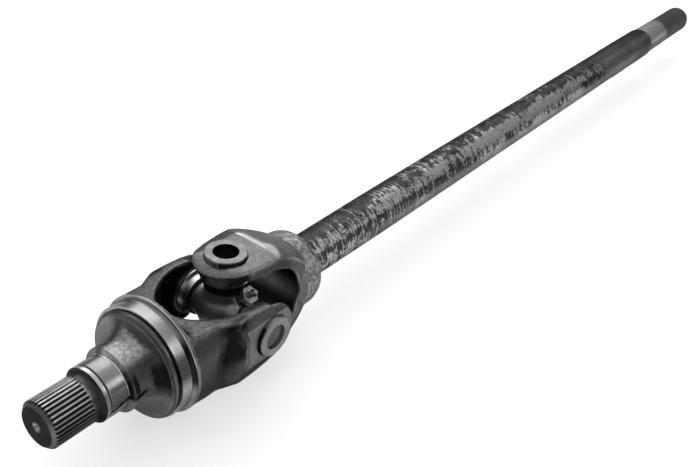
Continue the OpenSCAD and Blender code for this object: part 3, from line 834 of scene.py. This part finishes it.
def bar_profile():
    """Turned outline of the long bar, from inside the boss to the far spline."""
    fillet_r = BAR_ROOT_R + BAR_FILLET
    points = [(BOSS_BACK - 2, fillet_r + 0.15), (BOSS_BACK - 0.8, fillet_r + 0.25)]
    points += arc(BOSS_BACK + BAR_FILLET, fillet_r, BAR_FILLET, 180, 270, 8)
    for i in range(TAPER_STEPS + 1):
        share = i / TAPER_STEPS
        x = TAPER_START + (TAPER_END - TAPER_START) * share
        points.append((x, BAR_ROOT_R + (BAR_R - BAR_ROOT_R) * share))
    points += [(SMOOTH_START - 3, BAR_R), (SMOOTH_START, BAR_SMOOTH_R), (SMOOTH_END - 3, BAR_SMOOTH_R),
               (SMOOTH_END - 2.3, BAR_SMOOTH_R - 0.3), (SMOOTH_END, INNER_JOURNAL_R)]
    points += [(INNER_SPLINE - 1.6, INNER_JOURNAL_R), (INNER_SPLINE, INNER_JOURNAL_R - 0.25)]
    return [(JOINT + x, r) for x, r in points]


def make_inner_bar():
    """Long bar with its far journal."""
    zones = ((JOINT + SMOOTH_END - 1.5, "bar"), (JOINT + INNER_SPLINE, "far_journal"))
    return lathe("inner_bar", bar_profile(), zones, sides=160, crease=20)


def make_inner_spline():
    """Far spline."""
    o = cad_slice("inner_axle_shaft", "inner_spline", JOINT + INNER_SPLINE, INNER_END + 1)
    sharpen(o.data, crease=24)
    use(o, "far_spline")
    return o


def cross_weight(p):
    """Corners between the arms round freely; journals, shoulders and the nipple's boss keep their shape."""
    far = np.maximum(np.abs(p[:, Y_AXIS]), np.abs(p[:, Z_AXIS]))
    return fade(far, CROSS_KEPT_FROM, CROSS_ROUND_END)


def make_cross():
    """Forged cross."""
    o = cad_slice("joint_cross", "cross_forging", JOINT - PAST_EARS, JOINT + PAST_EARS)
    remesh(o, CROSS_VOXEL)
    relax(o, CROSS_ROUNDS, cross_weight)
    use(o, "cross")
    return o


def stands_for(piece, node, body):
    """The piece takes a steel CAD node's place and moves with its body."""
    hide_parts(node)
    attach(piece, body)


for make, node, body in ((make_inner_yoke, "inner_axle_shaft", "inner_shaft"),
                         (make_stub_yoke, "outer_stub_shaft", "hub_stub"),
                         (make_stub_spline, "outer_stub_shaft", "hub_stub"),
                         (make_stub_turning, "outer_stub_shaft", "hub_stub"),
                         (make_inner_bar, "inner_axle_shaft", "inner_shaft"),
                         (make_inner_spline, "inner_axle_shaft", "inner_shaft"),
                         (make_cross, "joint_cross", "cross")):
    stands_for(make(), node, body)


# Caps and the small pieces keep their CAD solids
def cap_places(axis, shade, share):
    """Places on a cap along this axis: wall on one side, painted dark as painted shade, mouth behind the
    ring seat, dish.
    """
    def places(c, normal):
        height, x, side = np.abs(c[:, axis]), c[:, X_AXIS] - JOINT, c[:, 3 - axis]
        shaded = (height < CAP_FACE - 0.6) & (x * shade[0] + side * shade[1] > share * CAP_R)
        return shaded, height < SEAT_Z, np.hypot(x, side) < DISH_R
    return places


upright_cap = cap_places(Z_AXIS, (-0.35, -0.94), 0.72)
level_cap = cap_places(Y_AXIS, (-0.95, -0.3), 0.35)
for side in ("upper", "lower"):
    # upright caps: the shaded wall and the mouth are painted dark, and the dish black, all painted shade
    paint(nodes[side + "_bearing_cap"], ("cap_top", "cap_wall", "cap_wall", "painted_shade"), upright_cap)
for side in ("near", "far"):
    # level caps: the shaded wall is painted dark as painted shade
    paint(nodes[side + "_bearing_cap"], ("cap", "cap_wall", "cap_mouth", "dish"), level_cap)
for side in ("upper", "lower", "near", "far"):
    use(nodes[side + "_needle_rollers"], "needle")
    use(nodes[side + "_cap_seal"], "seal")
    use(nodes[side + "_snap_ring"], "clip")
use(nodes["grease_nipple"], "nipple")


# Studio, in metres
def floor_material(seen, mirrored):
    """Pale floor that keeps the object's shadow.

    It glows a little where the camera sees it, directly, mirrored in metal or through glass.
    """
    mat = bpy.data.materials.new("floor")
    mat.use_nodes = True
    tree = mat.node_tree
    pale = tree.nodes["Principled BSDF"]
    pale.inputs["Base Color"].default_value = (0.92, 0.92, 0.92, 1)
    pale.inputs["Roughness"].default_value = 0.9
    pale.inputs["Specular IOR Level"].default_value = 0.1
    path = tree.nodes.new("ShaderNodeLightPath")
    glow = tree.nodes.new("ShaderNodeEmission")
    glows = (("Is Camera Ray", seen), ("Is Glossy Ray", mirrored), ("Is Transmission Ray", mirrored))
    total = None
    for kind, share in glows:
        part = tree.nodes.new("ShaderNodeMath")
        part.operation = "MULTIPLY_ADD"
        tree.links.new(path.outputs[kind], part.inputs[0])
        part.inputs[1].default_value = share
        part.inputs[2].default_value = 0
        if total:
            tree.links.new(total, part.inputs[2])
        total = part.outputs[0]
    tree.links.new(total, glow.inputs["Strength"])
    both = tree.nodes.new("ShaderNodeAddShader")
    tree.links.new(pale.outputs["BSDF"], both.inputs[0])
    tree.links.new(glow.outputs["Emission"], both.inputs[1])
    tree.links.new(both.outputs["Shader"], tree.nodes["Material Output"].inputs["Surface"])
    return mat


def make_floor(half_size):
    """Square floor just under the object."""
    sides = ((-1, -1), (1, -1), (1, 1), (-1, 1))
    corners = [(x * half_size, y * half_size, cad_box[0].z) for x, y in sides]
    mesh = bpy.data.meshes.new("floor")
    mesh.from_pydata(corners, [], [(0, 1, 2, 3)])
    mesh.materials.append(floor_material(seen=0.55, mirrored=0.26))
    return new_object("floor", mesh)


def studio_world(horizon, zenith):
    """Plain grey studio that is lighter overhead."""
    world = bpy.data.worlds.new("studio")
    world.use_nodes = True
    tree = world.node_tree
    coord = tree.nodes.new("ShaderNodeTexCoord")
    split = tree.nodes.new("ShaderNodeSeparateXYZ")
    tree.links.new(coord.outputs["Generated"], split.inputs[0])
    rise = tree.nodes.new("ShaderNodeMapRange")
    rise.inputs["To Min"].default_value = horizon
    rise.inputs["To Max"].default_value = zenith
    tree.links.new(split.outputs[Z_AXIS], rise.inputs["Value"])
    back = tree.nodes["Background"]
    back.inputs["Color"].default_value = (1, 1, 1, 1)
    tree.links.new(rise.outputs["Result"], back.inputs["Strength"])
    return world


def softbox(name, place, target, size, power):
    """Rectangular lamp that faces a point of the object."""
    light = bpy.data.lights.new(name, "AREA")
    light.shape = "RECTANGLE"
    light.size, light.size_y = size
    light.energy = power
    o = new_object(name, light)
    o.location = place
    o.rotation_euler = (Vector(target) - Vector(place)).to_track_quat("-Z", "Y").to_euler()


def make_camera(place, right, up, forward, lens):
    """Camera turned so that the picture's right, its top and the view lie in these directions."""
    data = bpy.data.cameras.new("camera")
    data.sensor_width = 36
    data.lens = lens
    data.clip_start, data.clip_end = 0.02, 60
    o = new_object("camera", data)
    turn = Matrix((right, up, -forward)).transposed()
    o.matrix_world = Matrix.Translation(place) @ turn.to_4x4()
    return o


floor = make_floor(half_size=60)
bpy.context.scene.world = studio_world(horizon=0.1, zenith=0.6)
softbox("back", place=(1.3, 1.0, 1.45), target=(0.25, 0, 0), size=(2.7, 1.5), power=15)
softbox("right", place=(1.0, -1.1, 0.8), target=(0.2, 0, 0), size=(0.8, 0.55), power=1.6)

# Camera at the photograph's angle
bpy.context.scene.camera = make_camera(place=(-0.26473, -0.40213, 0.45882),
                                       right=Vector((0.58933, -0.80192, 0.09804)),
                                       up=Vector((0.38150, 0.38322, 0.84120)),
                                       forward=Vector((0.71214, 0.45834, -0.53177)), lens=47.03)
bpy.context.scene.view_settings.view_transform = "Standard"
